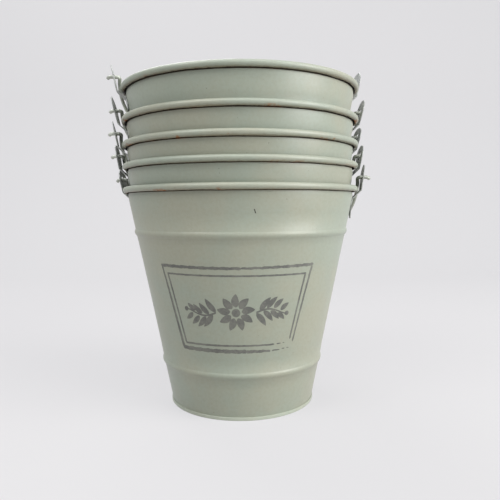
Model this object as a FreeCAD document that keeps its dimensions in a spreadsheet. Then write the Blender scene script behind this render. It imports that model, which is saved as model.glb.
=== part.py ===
import FreeCAD, Part

import math
import os

import Sketcher
from FreeCAD import Placement, Rotation, Vector

# A stack of five equal sheet-metal flower buckets, nested in each other.
# Millimetres, +Z up. The origin is the centre of the bottom bucket's foot, on the ground.
# X runs from the left ears to the right ears of a bucket with no turn; -Y is the front.

BUCKETS = (1, 2, 3, 4, 5)

SHARED_SIZES = {
    # sheet metal
    "sheet": 0.5,
    # tapered wall: outer radius at the ground, and how far it widens per unit of height
    "wall_base_radius": 57.9,
    "wall_taper": 0.1975,
    "neck_drop": 5.8,
    # curled rim
    "rim_height": 172.8,
    "curl_radius": 2.4,
    "curl_end_angle": 118,
    "curl_clearance": 0.2,
    # rolled bands
    "low_band_height": 35.3,
    "high_band_height": 139.3,
    "band_half_width": 3.4,
    "band_bulge": 1.15,
    # base pan with its hem round the foot of the wall
    "floor_height": 4.5,
    "hem_height": 2.6,
    "hem_bottom": 0.6,
    "hem_thickness": 0.6,
    "hem_gap": 0.1,
    "hem_rounding": 0.25,
    # ears
    "ear_blank_angle": 20,
    "ear_sheet": 0.8,
    "ear_gap": 0.05,
    "ear_half_width": 9,
    "ear_waist_half": 6.5,
    "kite_half_width": 12.5,
    "kite_height": -12.5,
    "kite_shoulder": -5,
    "leg_bottom": -23.6,
    "leg_foot_half": 2.2,
    "leg_bend": -15.4,
    "kink_bottom": -7.5,
    "kink_top": -1,
    "kink_standoff": 2.6,
    "ear_hole_radius": 2.5,
    "ear_hole_drop": 0.3,
    # bails
    "bail_wire_radius": 1.4,
    "bail_axis_height": 9.5,
    "hoop_standoff": 1.2175,
    "hoop_reach": 14,
    "hoop_pinch": 6.5,
    "bail_bend": 2,
    "hook_standoff": 8.0175,
    "hook_bend": 4.2,
    "hook_tip": 1.2,
}

BUCKET_SIZES = {
    # lift: height of the bucket's foot; turn: degrees about Z, left ear to the front
    # tip_out and tip_rise: how far the ear tips lie outside the bead and above its centre
    # hoop_out: how far the lying bail's hoop reaches outside the rim, behind the bucket
    1: {"lift": 0, "turn": -4.7, "hoop_out": -11.81350,
        "left_tip_out": 5.8, "left_tip_rise": 17.5, "right_tip_out": 5.2, "right_tip_rise": 19.6},
    2: {"lift": 18.2, "turn": 3.3, "hoop_out": 2.13714,
        "left_tip_out": 5.6, "left_tip_rise": 18.4, "right_tip_out": 6, "right_tip_rise": 18.4},
    3: {"lift": 34.9, "turn": 9.6, "hoop_out": 2.13714,
        "left_tip_out": 6.6, "left_tip_rise": 19, "right_tip_out": 7.2, "right_tip_rise": 17.6},
    4: {"lift": 54.1, "turn": 4.9, "hoop_out": 2.13714,
        "left_tip_out": 7.8, "left_tip_rise": 20.6, "right_tip_out": 7.6, "right_tip_rise": 19.8},
    5: {"lift": 78.7, "turn": 9.9, "hoop_out": 2.13714,
        "left_tip_out": 6.6, "left_tip_rise": 19, "right_tip_out": 6, "right_tip_rise": 19.4},
}

document = FreeCAD.newDocument("NestedBuckets")
sheet = document.addObject("Spreadsheet::Sheet", "Sizes")


def fill_sheet():
    """Write every driving size into the sheet, one row each, with its alias."""
    rows = dict(SHARED_SIZES)
    for bucket in BUCKETS:
        for name, value in BUCKET_SIZES[bucket].items():
            rows[f"{name}_{bucket:02d}_of_stack"] = value
    for row, (alias, value) in enumerate(rows.items(), start=1):
        sheet.set(f"A{row}", alias)
        sheet.set(f"B{row}", str(value))
        sheet.setAlias(f"B{row}", alias)
    document.recompute()


def own(name, bucket):
    """Expression for a size that belongs to one bucket of the stack."""
    return f"Sizes.{name}_{bucket:02d}_of_stack"


def size(expression):
    """Present value of an expression on the sheet, as a plain number."""
    value = sheet.evalExpression(expression)
    return float(getattr(value, "Value", value))


# Radii that several pieces share, as expressions on the sheet.
CURL_CENTRE = ("(Sizes.wall_base_radius + Sizes.wall_taper * (Sizes.rim_height - Sizes.neck_drop)"
               " - Sizes.sheet - Sizes.curl_clearance + Sizes.curl_radius)")
RIM_RADIUS = f"({CURL_CENTRE} + Sizes.curl_radius)"
HOOP_RADIUS = f"({RIM_RADIUS} + Sizes.hoop_standoff)"
SHEET_ACROSS = "(Sizes.sheet * sqrt(1 + Sizes.wall_taper ^ 2))"


def wall_outside(height):
    """Outer radius of the tapered wall at a height above its bucket's foot."""
    return f"(Sizes.wall_base_radius + Sizes.wall_taper * ({height}))"


def wall_inside(height):
    """Inner radius of the tapered wall at a height above its bucket's foot."""
    return f"({wall_outside(height)} - {SHEET_ACROSS})"


class Outline:
    """A sketch outline whose corners and radii follow expressions on the sheet."""

    def __init__(self, body, role, name):
        self.sketch = body.newObject("Sketcher::SketchObject", name)
        plane = next(item for item in body.Origin.OriginFeatures if item.Role == role)
        self.sketch.AttachmentSupport = (plane, [""])
        self.sketch.MapMode = "FlatFace"

    def constrain(self, *arguments):
        return self.sketch.addConstraint(Sketcher.Constraint(*arguments))

    def drive(self, index, expression):
        self.sketch.setExpression(f"Constraints[{index}]", expression)

    def fix(self, geometry, end, corner):
        """Hold one end of a piece of geometry at a corner given by two expressions."""
        for kind, expression in zip(("DistanceX", "DistanceY"), corner):
            self.drive(self.constrain(kind, geometry, end, size(expression)), expression)

    def add_line(self, start, end):
        points = [Vector(size(x), size(y), 0) for x, y in (start, end)]
        return self.sketch.addGeometry(Part.LineSegment(*points), False), 1, 2

    def add_arc(self, start, end, radius, leftward):
        """Add the shorter arc between two corners; leftward arcs turn left on the way."""
        first, last = [Vector(size(x), size(y), 0) for x, y in (start, end)]
        reach = size(radius)
        chord = last.sub(first)
        sagitta = math.sqrt(max(reach ** 2 - (chord.Length / 2) ** 2, 0))
        side = Vector(-chord.y, chord.x, 0).normalize() * (sagitta if leftward else -sagitta)
        centre = first + chord * 0.5 + side
        begin, finish = (first, last) if leftward else (last, first)
        angles = [math.atan2(point.y - centre.y, point.x - centre.x) for point in (begin, finish)]
        circle = Part.Circle(centre, Vector(0, 0, 1), reach)
        arc = self.sketch.addGeometry(Part.ArcOfCircle(circle, *angles), False)
        self.drive(self.constrain("Radius", arc, reach), radius)
        return (arc, 1, 2) if leftward else (arc, 2, 1)

    def trace(self, start, steps, closed=True):
        """Draw steps of (corner,) for a line or (corner, radius, leftward) for an arc."""
        corner = start
        pieces = []
        for step in steps:
            if len(step) == 1:
                pieces.append(self.add_line(corner, step[0]))
            else:
                pieces.append(self.add_arc(corner, *step))
            self.fix(pieces[-1][0], pieces[-1][1], corner)
            corner = step[0]
        for piece, following in zip(pieces, pieces[1:] + pieces[:1] if closed else pieces[1:]):
            self.constrain("Coincident", piece[0], piece[2], following[0], following[1])
        if not closed:
            self.fix(pieces[-1][0], pieces[-1][2], corner)

    def circle(self, centre, radius):
        ring = self.sketch.addGeometry(
            Part.Circle(Vector(size(centre[0]), size(centre[1]), 0), Vector(0, 0, 1), size(radius)))
        self.drive(self.constrain("Radius", ring, size(radius)), radius)
        self.fix(ring, 3, centre)


def new_body(name, bucket):
    """A body that stands in its bucket's place in the stack."""
    body = document.addObject("PartDesign::Body", name)
    body.Label = name
    body.Placement = Placement(Vector(0, 0, 0), Rotation(Vector(0, 0, 1), 1))
    body.setExpression(".Placement.Base.z", own("lift", bucket))
    body.setExpression(".Placement.Rotation.Angle", own("turn", bucket))
    return body


def revolve(body, outline, name, angle=None):
    """Turn an outline drawn on the XZ plane about the upright axis, all round or by an angle."""
    feature = body.newObject("PartDesign::Revolution", name)
    feature.Profile = outline.sketch
    feature.ReferenceAxis = (outline.sketch, ["V_Axis"])
    if angle:
        feature.setExpression("Angle", angle)
        feature.Midplane = True
    else:
        feature.Angle = 360
    outline.sketch.Visibility = False
    return feature


def make_wall(bucket):
    """Tapered shell with two rolled bands and a rim curled outward."""
    body = new_body(f"wall_{bucket}", bucket)
    outline = Outline(body, "XZ_Plane", f"wall_outline_{bucket}")
    foot = "(Sizes.hem_bottom + Sizes.hem_gap / 2)"
    neck = "(Sizes.rim_height - Sizes.neck_drop)"
    curl_inner = "(Sizes.curl_radius - Sizes.sheet)"

    def curl(angle, radius):
        return (f"{CURL_CENTRE} + {radius} * cos({angle} * 1deg)",
                f"Sizes.rim_height + {radius} * sin({angle} * 1deg)")

    def band_corner(side, band, sign):
        height = f"(Sizes.{band} {sign} Sizes.band_half_width)"
        return side(height), height

    # Radius of an arc whose chord is the band's width and whose rise is the bulge.
    slant = "(Sizes.band_half_width * sqrt(1 + Sizes.wall_taper ^ 2))"
    band_radius = f"(({slant} ^ 2 + Sizes.band_bulge ^ 2) / (2 * Sizes.band_bulge))"

    outside = [
        (band_corner(wall_outside, "low_band_height", "-"),),
        (band_corner(wall_outside, "low_band_height", "+"), band_radius, True),
        (band_corner(wall_outside, "high_band_height", "-"),),
        (band_corner(wall_outside, "high_band_height", "+"), band_radius, True),
        ((wall_outside(neck), neck),),
        (curl("180", curl_inner),),
        (curl("90", curl_inner), curl_inner, False),
        (curl("0", curl_inner), curl_inner, False),
        (curl("-90", curl_inner), curl_inner, False),
        (curl("(-Sizes.curl_end_angle)", curl_inner), curl_inner, False),
    ]
    inside = [
        (curl("(-Sizes.curl_end_angle)", "Sizes.curl_radius"),),
        (curl("-90", "Sizes.curl_radius"), "Sizes.curl_radius", True),
        (curl("0", "Sizes.curl_radius"), "Sizes.curl_radius", True),
        (curl("90", "Sizes.curl_radius"), "Sizes.curl_radius", True),
        (curl("180", "Sizes.curl_radius"), "Sizes.curl_radius", True),
        ((wall_inside(neck), neck),),
        (band_corner(wall_inside, "high_band_height", "+"),),
        (band_corner(wall_inside, "high_band_height", "-"), band_radius, False),
        (band_corner(wall_inside, "low_band_height", "+"),),
        (band_corner(wall_inside, "low_band_height", "-"), band_radius, False),
        ((wall_inside(foot), foot),),
        ((wall_outside(foot), foot),),
    ]
    outline.trace((wall_outside(foot), foot), outside + inside)
    revolve(body, outline, f"wall_turned_{bucket}")
    return body


def make_base(bucket):
    """Floor pan whose edge is hemmed round the foot of the wall."""
    body = new_body(f"base_{bucket}", bucket)
    outline = Outline(body, "XZ_Plane", f"base_outline_{bucket}")
    leg_outer = f"({wall_inside('Sizes.hem_bottom')} - Sizes.hem_gap)"
    leg_inner = f"({leg_outer} - Sizes.sheet)"
    hem_inner = f"({wall_outside('Sizes.hem_height')} + Sizes.hem_gap)"
    hem_outer = f"({hem_inner} + Sizes.hem_thickness)"
    rounding = "Sizes.hem_rounding"
    outline.trace(("0", "Sizes.floor_height"), [
        ((leg_outer, "Sizes.floor_height"),),
        ((leg_outer, "Sizes.hem_bottom"),),
        ((hem_inner, "Sizes.hem_bottom"),),
        ((hem_inner, "Sizes.hem_height"),),
        ((f"{hem_outer} - {rounding}", "Sizes.hem_height"),),
        ((hem_outer, f"Sizes.hem_height - {rounding}"), rounding, False),
        ((hem_outer, rounding),),
        ((f"{hem_outer} - {rounding}", "0"), rounding, False),
        ((leg_inner, "0"),),
        ((leg_inner, "Sizes.floor_height - Sizes.sheet"),),
        (("0", "Sizes.floor_height - Sizes.sheet"),),
        (("0", "Sizes.floor_height"),),
    ])
    revolve(body, outline, f"base_turned_{bucket}")
    return body


def ear_profile(tip_out, tip_rise):
    """Inner face of an ear, foot to tip: (radius, height above the rim's centre)."""
    leg = f"({wall_outside('Sizes.rim_height + Sizes.leg_bend')} + Sizes.ear_gap)"
    return [
        (leg, "Sizes.leg_bottom"),
        (leg, "Sizes.leg_bend"),
        (f"{wall_outside('Sizes.rim_height + Sizes.kink_bottom')} + Sizes.ear_gap", "Sizes.kink_bottom"),
        (f"{RIM_RADIUS} + Sizes.kink_standoff", "Sizes.kink_top"),
        (f"{RIM_RADIUS} + {tip_out}", tip_rise),
    ]


def make_ear(side, bucket):
    """Bent lug: pointed leg on the wall, kink round the bead, rounded tongue with a hole."""
    name = f"{side}_ear_{bucket}"
    body = new_body(name, bucket)
    sign = "-" if side == "left" else ""
    tip_out, tip_rise = own(f"{side}_tip_out", bucket), own(f"{side}_tip_rise", bucket)
    outline = Outline(body, "XZ_Plane", f"{name}_section")
    inner = ear_profile(tip_out, tip_rise)
    corners = [(radius, height) for radius, height in inner]
    corners += [(f"({radius} + Sizes.ear_sheet)", height) for radius, height in reversed(inner)]
    placed = [(f"{sign}({radius})", f"Sizes.rim_height + {height}") for radius, height in corners]
    outline.trace(placed[0], [(corner,) for corner in placed[1:]] + [(placed[0],)])
    strip = revolve(body, outline, f"{name}_strip", angle="Sizes.ear_blank_angle")
    document.recompute()

    # Everything outside the lug's outline is cut off the strip, straight through from the side.
    trim = Outline(body, "YZ_Plane", f"{name}_outline")
    rim = "Sizes.rim_height"
    tip_centre = f"({rim} + {tip_rise} - Sizes.ear_half_width)"
    half, waist, kite, foot = ("Sizes.ear_half_width", "Sizes.ear_waist_half",
                               "Sizes.kite_half_width", "Sizes.leg_foot_half")
    leg_bottom = f"{rim} + Sizes.leg_bottom"
    trim.trace((half, tip_centre), [
        (("0", f"{tip_centre} + {half}"), half, True),
        ((f"-{half}", tip_centre), half, True),
        ((f"-{waist}", f"{rim} + Sizes.kink_top"),),
        ((f"-{waist}", f"{rim} + Sizes.kite_shoulder"),),
        ((f"-{kite}", f"{rim} + Sizes.kite_height"),),
        ((f"-{foot}", leg_bottom),),
        ((foot, leg_bottom),),
        ((kite, f"{rim} + Sizes.kite_height"),),
        ((waist, f"{rim} + Sizes.kite_shoulder"),),
        ((waist, f"{rim} + Sizes.kink_top"),),
        ((half, tip_centre),),
    ])
    blank_side = f"(2 * {kite})"
    blank_low, blank_high = f"{leg_bottom} - {kite}", f"{rim} + {tip_rise} + {kite}"
    trim.trace((blank_side, blank_low), [
        ((blank_side, blank_high),),
        ((f"-{blank_side}", blank_high),),
        ((f"-{blank_side}", blank_low),),
        ((blank_side, blank_low),),
    ])
    # The wire rests just above the lower edge of the hole.
    hole_height = (f"{rim} + Sizes.bail_axis_height - Sizes.bail_wire_radius - Sizes.ear_hole_drop"
                   " + Sizes.ear_hole_radius")
    trim.circle(("0", hole_height), "Sizes.ear_hole_radius")
    cut = body.newObject("PartDesign::Pocket", f"{name}_cut")
    cut.Profile = trim.sketch
    cut.Type = 1
    cut.Midplane = True
    trim.sketch.Visibility = False
    document.recompute()
    if not cut.Shape.Volume < strip.Shape.Volume:
        raise RuntimeError(f"{name}: the trim cut nothing")
    return body


def make_bail(bucket):
    """Wire handle: a hoop that pinches in to two hooked ends, which pass through the ears.

    The path lies in the handle's own plane: X along the hinge axis, Y towards the hoop's top.
    The hoop's arc ends a pinch angle past its widest place and runs on straight, without a
    corner, into the bend that turns it out along the hinge axis.
    """
    name = f"bail_{bucket}"
    body = document.addObject("PartDesign::Body", name)
    body.Label = name
    path = Outline(body, "XY_Plane", f"{name}_path")
    hoop, reach, bend = HOOP_RADIUS, "Sizes.hoop_reach", "Sizes.bail_bend"
    along, across = "cos(Sizes.hoop_pinch * 1deg)", "sin(Sizes.hoop_pinch * 1deg)"
    arm = f"(({reach} - {hoop} * {across} - {bend} * (1 + {across})) / {along})"
    bend_place = f"(({hoop} + {bend}) * {along} - {arm} * {across})"
    bend_end = (f"({bend_place} - {bend} * {along})", f"{bend} * (1 + {across})")
    hoop_end = (f"({hoop} * {along})", f"{reach} - {hoop} * {across}")
    hook = f"({RIM_RADIUS} + Sizes.hook_standoff)"
    curl, tip = "Sizes.hook_bend", "Sizes.hook_tip"
    path.trace((f"-({hook} + {curl})", f"{curl} + {tip}"), [
        ((f"-({hook} + {curl})", curl),),
        ((f"-{hook}", "0"), curl, True),
        ((f"-{bend_place}", "0"),),
        ((f"-{bend_end[0]}", bend_end[1]), bend, True),
        ((f"-{hoop_end[0]}", hoop_end[1]),),
        ((f"-{hoop}", reach), hoop, False),
        (("0", f"{reach} + {hoop}"), hoop, False),
        ((hoop, reach), hoop, False),
        (hoop_end, hoop, False),
        (bend_end,),
        ((bend_place, "0"), bend, True),
        ((hook, "0"),),
        ((f"{hook} + {curl}", curl), curl, True),
        ((f"{hook} + {curl}", f"{curl} + {tip}"),),
    ], closed=False)
    section = Outline(body, "XZ_Plane", f"{name}_section")
    section.sketch.AttachmentOffset = Placement(Vector(0, 0, 0), Rotation())
    section.sketch.setExpression(".AttachmentOffset.Base.z", f"-({curl} + {tip})")
    section.circle((f"-({hook} + {curl})", "0"), "Sizes.bail_wire_radius")
    document.recompute()
    wire = body.newObject("PartDesign::AdditivePipe", f"{name}_wire")
    wire.Profile = section.sketch
    wire.Spine = path.sketch
    path.sketch.Visibility = False
    section.sketch.Visibility = False
    # The handle's plane would be level with no lean. It tips down until the hoop just passes the rim.
    height = size(f"{own('lift', bucket)} + Sizes.rim_height + Sizes.bail_axis_height")
    turn = Rotation(Vector(0, 0, 1), size(own("turn", bucket)))
    lean_angle = size(f"acos(({RIM_RADIUS} + {own('hoop_out', bucket)}) / ({reach} + {hoop}))")
    lean = Rotation(Vector(1, 0, 0), -lean_angle)
    body.Placement = Placement(Vector(0, 0, height), turn.multiply(lean))
    return body


def export(nodes):
    """Write each finished piece to its own STEP file, once everything has been checked."""
    for item in document.Objects:
        if "Invalid" in item.State or "Error" in item.State:
            raise RuntimeError(f"{item.Label}: {item.State}")
    for node in nodes:
        if node.Shape.isNull() or not node.Shape.isValid():
            raise RuntimeError(f"{node.Label}: no valid shape")
    os.makedirs("parts", exist_ok=True)
    for node in nodes:
        node.Shape.exportStep(os.path.join("parts", f"{node.Label}.step"))
        box = node.Shape.BoundBox
        print(f"{node.Label}: {len(node.Shape.Solids)} solid, {node.Shape.Volume:.0f} mm3,"
              f" z {box.ZMin:.2f} to {box.ZMax:.2f}")


fill_sheet()
pieces = []
for number in BUCKETS:
    pieces += [make_wall(number), make_base(number)]
    pieces += [make_ear("left", number), make_ear("right", number), make_bail(number)]
document.recompute()
export(pieces)
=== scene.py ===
"""Looks of a stack of five sheet-metal flower buckets, nested in each other.

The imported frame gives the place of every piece. This script builds a finer mesh for each of them,
adds the side seams and the printed panels, and gives every surface its finish. Lengths are metres.
The front of the stack faces -Y, and each bucket has its own small turn about the upright axis.
"""
import logging
import math
from dataclasses import dataclass, field
from enum import Enum
from typing import Iterable, Sequence

import bmesh
import bpy
from mathutils import Matrix, Vector

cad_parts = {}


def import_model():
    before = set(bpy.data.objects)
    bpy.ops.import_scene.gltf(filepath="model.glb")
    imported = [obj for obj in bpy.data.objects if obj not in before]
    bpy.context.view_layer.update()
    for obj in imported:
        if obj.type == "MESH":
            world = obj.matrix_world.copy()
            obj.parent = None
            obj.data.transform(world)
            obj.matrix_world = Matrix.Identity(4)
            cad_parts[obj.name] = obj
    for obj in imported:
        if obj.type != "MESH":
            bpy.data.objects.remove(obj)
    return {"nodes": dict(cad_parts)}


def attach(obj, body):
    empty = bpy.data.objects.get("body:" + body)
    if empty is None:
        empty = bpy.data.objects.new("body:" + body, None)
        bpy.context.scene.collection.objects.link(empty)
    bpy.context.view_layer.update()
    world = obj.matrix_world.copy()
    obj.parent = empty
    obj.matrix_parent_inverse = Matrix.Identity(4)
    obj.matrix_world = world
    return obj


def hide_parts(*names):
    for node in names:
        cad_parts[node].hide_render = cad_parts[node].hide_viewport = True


LOG = logging.getLogger("buckets")
MM = 0.001
BUCKETS = (1, 2, 3, 4, 5)
Profile = list[tuple[float, float]]
CREASE = math.radians(50)


class Side(Enum):
    """The two sides that an ear can stand on, with the sign of its X."""

    LEFT = -1
    RIGHT = 1


# ---------------------------------------------------------------- shader expressions


@dataclass(frozen=True)
class Wire:
    """An output socket of a shader node, with operators that add Math nodes."""

    graph: "Graph"
    socket: bpy.types.NodeSocket

    def _math(self, operation: str, *values: "Wire | float") -> "Wire":
        """A Math node on these values."""
        return self.graph.math(operation, *values)

    def __add__(self, other: "Wire | float") -> "Wire":
        """Sum."""
        return self._math("ADD", self, other)

    def __radd__(self, other: float) -> "Wire":
        """Sum with a number on the left."""
        return self._math("ADD", other, self)

    def __sub__(self, other: "Wire | float") -> "Wire":
        """Difference."""
        return self._math("SUBTRACT", self, other)

    def __rsub__(self, other: float) -> "Wire":
        """Difference with a number on the left."""
        return self._math("SUBTRACT", other, self)

    def __mul__(self, other: "Wire | float") -> "Wire":
        """Product."""
        return self._math("MULTIPLY", self, other)

    def __rmul__(self, other: float) -> "Wire":
        """Product with a number on the left."""
        return self._math("MULTIPLY", other, self)

    def __truediv__(self, other: "Wire | float") -> "Wire":
        """Quotient."""
        return self._math("DIVIDE", self, other)

    def __abs__(self) -> "Wire":
        """Size without sign."""
        return self._math("ABSOLUTE", self)

    def smooth(self, low: float, high: float) -> "Wire":
        """Step smoothly from 0 to 1.

        Args:
            low: value that gives 0. It may lie above high.
            high: value that gives 1.

        Returns:
            The step.
        """
        return self.graph.node(
            "ShaderNodeMapRange",
            {"interpolation_type": "SMOOTHSTEP"},
            {"Value": self, "From Min": low, "From Max": high},
        )


class Graph:
    """Builds one node tree."""

    def __init__(self, tree: bpy.types.NodeTree) -> None:
        """Args:
            tree: the node tree to fill.
        """
        self.tree = tree

    def add(self, kind: str, settings: dict, inputs: dict) -> bpy.types.Node:
        """Add a node.

        Args:
            kind: node type.
            settings: properties that are set first.
            inputs: values or wires, by socket name or number.

        Returns:
            The new node.
        """
        node = self.tree.nodes.new(kind)
        for name, value in settings.items():
            setattr(node, name, value)
        for name, value in inputs.items():
            socket = node.inputs[name]
            if isinstance(value, Wire):
                self.tree.links.new(value.socket, socket)
            else:
                socket.default_value = value
        return node

    def node(self, kind: str, settings: dict | None = None, inputs: dict | None = None,
             output: str | int = 0) -> Wire:
        """Add a node and return one of its outputs.

        Args:
            kind: node type.
            settings: properties that are set first.
            inputs: values or wires, by socket name or number.
            output: name or number of the output.

        Returns:
            The output's socket.
        """
        return Wire(self, self.add(kind, settings or {}, inputs or {}).outputs[output])

    def math(self, operation: str, *values: Wire | float) -> Wire:
        """Add a Math node on one to three values."""
        return self.node("ShaderNodeMath", {"operation": operation}, dict(enumerate(values)))

    def vector(self, operation: str, *values: Wire | Sequence[float]) -> Wire:
        """Add a Vector Math node on one or two vectors."""
        return self.node("ShaderNodeVectorMath", {"operation": operation}, dict(enumerate(values)))

    def mix(self, factor: Wire | float, low: Wire | Sequence[float],
            high: Wire | Sequence[float]) -> Wire:
        """Mix two colours.

        Args:
            factor: share of the second colour.
            low: first colour.
            high: second colour.

        Returns:
            The mixed colour.
        """
        settings = {"data_type": "RGBA", "clamp_factor": True}
        return self.node("ShaderNodeMix", settings, {0: factor, 6: low, 7: high}, output=2)

    def noise(self, place: Wire, scale: float, detail: float = 2.0, roughness: float = 0.5) -> Wire:
        """Noise between about 0.25 and 0.75.

        Args:
            place: where it is read.
            scale: how fine it is.
            detail: number of finer layers.
            roughness: strength of the finer layers.

        Returns:
            The noise.
        """
        return self.node("ShaderNodeTexNoise", {},
                         {"Vector": place, "Scale": scale, "Detail": detail, "Roughness": roughness})

    def parts(self, vector: Wire) -> tuple[Wire, Wire, Wire]:
        """The three parts of a vector."""
        node = self.add("ShaderNodeSeparateXYZ", {}, {0: vector})
        return tuple(Wire(self, output) for output in node.outputs)


def srgb(red: int, green: int, blue: int) -> tuple[float, float, float, float]:
    """Linear colour of a display colour.

    Args:
        red: red, 0 to 255.
        green: green, 0 to 255.
        blue: blue, 0 to 255.

    Returns:
        Red, green, blue and alpha, linear.
    """
    def linear(value: int) -> float:
        """One linear channel."""
        share = value / 255
        return share / 12.92 if share <= 0.04045 else ((share + 0.055) / 1.055) ** 2.4
    return linear(red), linear(green), linear(blue), 1.0


def new_material(name: str) -> tuple[bpy.types.Material, Graph]:
    """Make an empty node material.

    Args:
        name: its name.

    Returns:
        The material and its graph.
    """
    material = bpy.data.materials.new(name)
    material.use_nodes = True
    material.node_tree.nodes.clear()
    return material, Graph(material.node_tree)


def finish_surface(graph: Graph, inputs: dict) -> None:
    """Close a material with a Principled shader.

    Args:
        graph: the material's graph.
        inputs: the shader's inputs by name.
    """
    shader = graph.node("ShaderNodeBsdfPrincipled", {}, inputs)
    graph.add("ShaderNodeOutputMaterial", {}, {"Surface": shader})


# ---------------------------------------------------------------- finishes


@dataclass(frozen=True)
class Scratch:
    """A short chip in the paint, slanted on the front of a wall."""

    angle: float
    height: float
    length: float = 3.4 * MM
    width: float = 0.55 * MM
    slant: float = 0.35
    wall_radius: float = 90 * MM


@dataclass(frozen=True)
class SagePaint:
    """Satin sage-green stove enamel on one bucket, with its own wear."""

    foot: float
    seed: int
    rust: float
    scratch: Scratch | None = None
    cool: tuple = srgb(156, 165, 151)
    warm: tuple = srgb(163, 165, 148)
    soiled: tuple = srgb(112, 98, 72)
    rusty: tuple = srgb(150, 90, 34)
    bare: tuple = srgb(44, 38, 30)
    # Dark colour painted inside the curl and its throat: painted shade.
    curl_shade: tuple = srgb(48, 42, 33)
    # Lighter colour for the painted highlight along the hem at the foot.
    thin: tuple = srgb(196, 203, 188)
    gloss_low: float = 0.36
    gloss_high: float = 0.54

    def material(self) -> bpy.types.Material:
        """Build the finish.

        Returns:
            The paint with mottling, soiled curl, chips, rust specks, painted shade inside the curl and a
            painted highlight along the hem.
        """
        material, graph = new_material(f"sage_paint_{self.seed}")
        here = graph.node("ShaderNodeTexCoord", output="Object")
        place = graph.vector("ADD", here, (0.37 * self.seed, 0.61 * self.seed, -self.foot))
        lip = graph.node("ShaderNodeAttribute", {"attribute_name": "lip"}, output="Fac")
        broad = graph.noise(place, 9.0, 3.0)
        cloudy = graph.noise(place, 34.0, 4.0, 0.6)
        fine = graph.noise(place, 420.0, 3.0, 0.6)
        colour = graph.mix((broad * 0.6 + cloudy * 0.4).smooth(0.38, 0.62), self.cool, self.warm)
        colour = graph.mix(fine.smooth(0.3, 0.75) * 0.1, colour, self.soiled)
        # The enamel is thin and stained where the sheet curls under, and flakes off along its lip.
        crumbs = graph.noise(place, 240.0, 5.0, 0.7)
        patches = graph.noise(place, 48.0, 3.0, 0.55)
        stain = (lip + (crumbs - 0.5) * 0.5).smooth(0.1, 0.9)
        colour = graph.mix(stain * 0.8, colour, self.soiled)
        flake = (lip + (crumbs - 0.5) * 1.3 + (patches - 0.5) * 1.1).smooth(0.86, 1.0)
        bare = graph.mix(patches.smooth(0.5, 0.62) * self.rust, self.bare, self.rusty)
        colour = graph.mix(flake * 0.92, colour, bare)
        bloom = (patches + (crumbs - 0.5) * 0.5).smooth(0.6, 0.68)
        bloom = bloom * lip.smooth(0.04, 0.4) * self.rust
        colour = graph.mix(bloom * 0.8, colour, self.rusty)
        # Painted shade: the inside of the curl and the throat under it are painted dark, where the open
        # curl lies in shadow.
        colour = graph.mix(lip.smooth(1.15, 1.6), colour, self.curl_shade)
        # Painted highlight: a lighter band along the hem at the foot, broken by noise.
        foot = graph.parts(place)[2]
        hem_highlight = foot.smooth(3.1 * MM, 2.5 * MM) * (1.15 - crumbs * 0.7)
        colour = graph.mix(hem_highlight * 0.55, colour, self.thin)
        speck = graph.noise(place, 610.0, 2.0).smooth(0.74, 0.78)
        colour = graph.mix(speck * 0.45, colour, self.bare)
        # The curl's painted shade also raises roughness and sinks the bump, as the wear does.
        wear_and_curl_shade = flake + bloom * 0.6 + lip.smooth(1.15, 1.6)
        if self.scratch:
            colour = graph.mix(self._mark(graph, here), colour, self.bare)
        roughness = self.gloss_low + (self.gloss_high - self.gloss_low) * cloudy + wear_and_curl_shade * 0.3
        orange_peel = graph.noise(place, 260.0, 1.0)
        height = orange_peel * 0.25 + fine * 0.1 - wear_and_curl_shade * 0.6
        bump = graph.node("ShaderNodeBump", {},
                          {"Strength": 0.12, "Distance": 0.4 * MM, "Height": height})
        finish_surface(graph, {"Base Color": colour, "Roughness": roughness, "Normal": bump,
                               "Specular IOR Level": 0.5, "Coat Weight": 0.2,
                               "Coat Roughness": 0.26})
        return material

    def _mark(self, graph: Graph, here: Wire) -> Wire:
        """Mask of the paint chip on the front of the wall.

        Args:
            graph: the paint's graph.
            here: place on the piece.

        Returns:
            1 on the chip, 0 elsewhere.
        """
        across, depth, height = graph.parts(here)
        scratch = self.scratch
        side = across / (depth * -1.0) - math.tan(scratch.angle)
        up = height - scratch.height
        lean = up * (scratch.slant / scratch.wall_radius)
        width = scratch.width / scratch.wall_radius
        inside = abs(side + lean).smooth(width, width * 0.4)
        inside = inside * abs(up).smooth(scratch.length * 0.5, scratch.length * 0.35)
        return inside * (depth * -1.0).smooth(0.0, 10 * MM)


@dataclass(frozen=True)
class DullZinc:
    """Dull zinc on sheet or wire, with blotches and dark pits."""

    name: str
    light: tuple
    dark: tuple
    metallic: float
    roughness: float
    blotch_scale: float
    pitting: float

    def material(self) -> bpy.types.Material:
        """Build the finish.

        Returns:
            The mottled metal.
        """
        material, graph = new_material(self.name)
        place = graph.node("ShaderNodeTexCoord", output="Object")
        blotch = graph.noise(place, self.blotch_scale, 4.0, 0.65)
        grain = graph.noise(place, self.blotch_scale * 6, 3.0, 0.6)
        colour = graph.mix((blotch * 0.75 + grain * 0.25).smooth(0.4, 0.62), self.dark, self.light)
        pits = graph.noise(place, self.blotch_scale * 3.4, 2.0, 0.5).smooth(0.62, 0.7)
        pitted = tuple(0.3 * part for part in self.dark[:3]) + (1.0,)
        colour = graph.mix(pits * self.pitting, colour, pitted)
        roughness = self.roughness + (grain - 0.5) * 0.3
        bump = graph.node("ShaderNodeBump", {}, {"Strength": 0.25, "Distance": 0.15 * MM,
                                                 "Height": blotch * 0.6 + grain * 0.4})
        finish_surface(graph, {"Base Color": colour, "Roughness": roughness, "Normal": bump,
                               "Metallic": self.metallic})
        return material


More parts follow.
